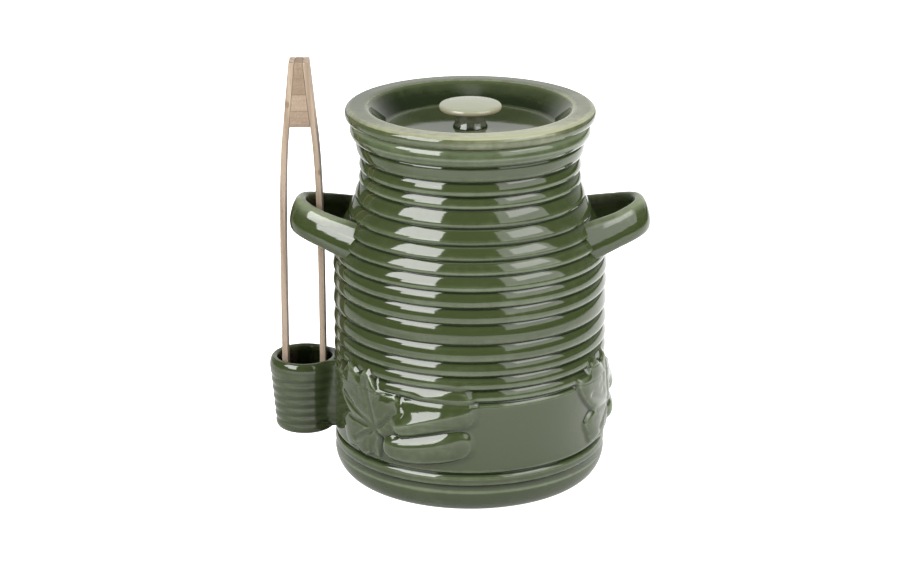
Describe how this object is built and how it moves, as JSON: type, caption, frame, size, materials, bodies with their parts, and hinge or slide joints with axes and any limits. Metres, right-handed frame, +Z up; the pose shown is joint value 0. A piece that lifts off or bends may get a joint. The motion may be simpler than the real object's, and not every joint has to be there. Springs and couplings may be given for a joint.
{
  "type": "pickle crock with lid and tongs",
  "caption": "Ribbed green-glazed stoneware crock with strap handles, lift-off knobbed lid, side cup and wooden tongs, and leaf and gherkin relief.",
  "frame": {"origin": "centre of the crock's flat dry base, on the crock's axis", "axes": "+Z up along the crock's axis, -Y towards the front, +X towards the plain right-hand handle; the tong cup is on the -X side"},
  "size_m": [0.2323, 0.1728, 0.2553],
  "materials": {
    "green_glaze": "gloss green glaze that pools dark in the grooves and thins to a pale edge",
    "pale_green_glaze": "the same glaze, thinner and paler, with cream edges",
    "bare_wood": "bare sanded light hardwood"
  },
  "bodies": {
    "crock": {"crock_body": "green_glaze", "left_handle": "green_glaze", "right_handle": "green_glaze", "tong_cup": "green_glaze", "front_leaf": "green_glaze", "front_upper_gherkin": "green_glaze", "front_lower_gherkin": "green_glaze", "right_leaf": "green_glaze", "right_upper_gherkin": "green_glaze", "right_lower_gherkin": "green_glaze", "back_leaf": "green_glaze", "back_upper_gherkin": "green_glaze", "back_lower_gherkin": "green_glaze"},
    "lid": {"lid": "pale_green_glaze", "lid_knob": "pale_green_glaze"},
    "tongs_head": {"tongs_wedge": "bare_wood", "left_arm_root": "bare_wood", "right_arm_root": "bare_wood"},
    "left_blade": {"left_arm_blade": "bare_wood"},
    "right_blade": {"right_arm_blade": "bare_wood"}
  },
  "joints": [
    {"name": "lid_lift", "type": "slide", "parent": "crock", "child": "lid", "axis": [0, 0, 1], "range_m": [0, 0.08]},
    {"name": "tongs_lift", "type": "slide", "parent": "crock", "child": "tongs_head", "axis": [0, 0, 1], "range_m": [0, 0.16]},
    {"name": "left_arm_flex", "type": "hinge", "parent": "tongs_head", "child": "left_blade", "pos_m": [-0.11228, 0.00355, 0.1753], "axis": [0, -1, 0], "range_deg": [0, 3.7], "stiffness_Nm_per_rad": 4},
    {"name": "right_arm_flex", "type": "hinge", "parent": "tongs_head", "child": "right_blade", "pos_m": [-0.0908, 0.00355, 0.1753], "axis": [0, 1, 0], "range_deg": [0, 3.7], "stiffness_Nm_per_rad": 4}
  ],
  "couplings": [
    {"joint": "right_arm_flex", "follows": "left_arm_flex", "ratio": 1}
  ]
}
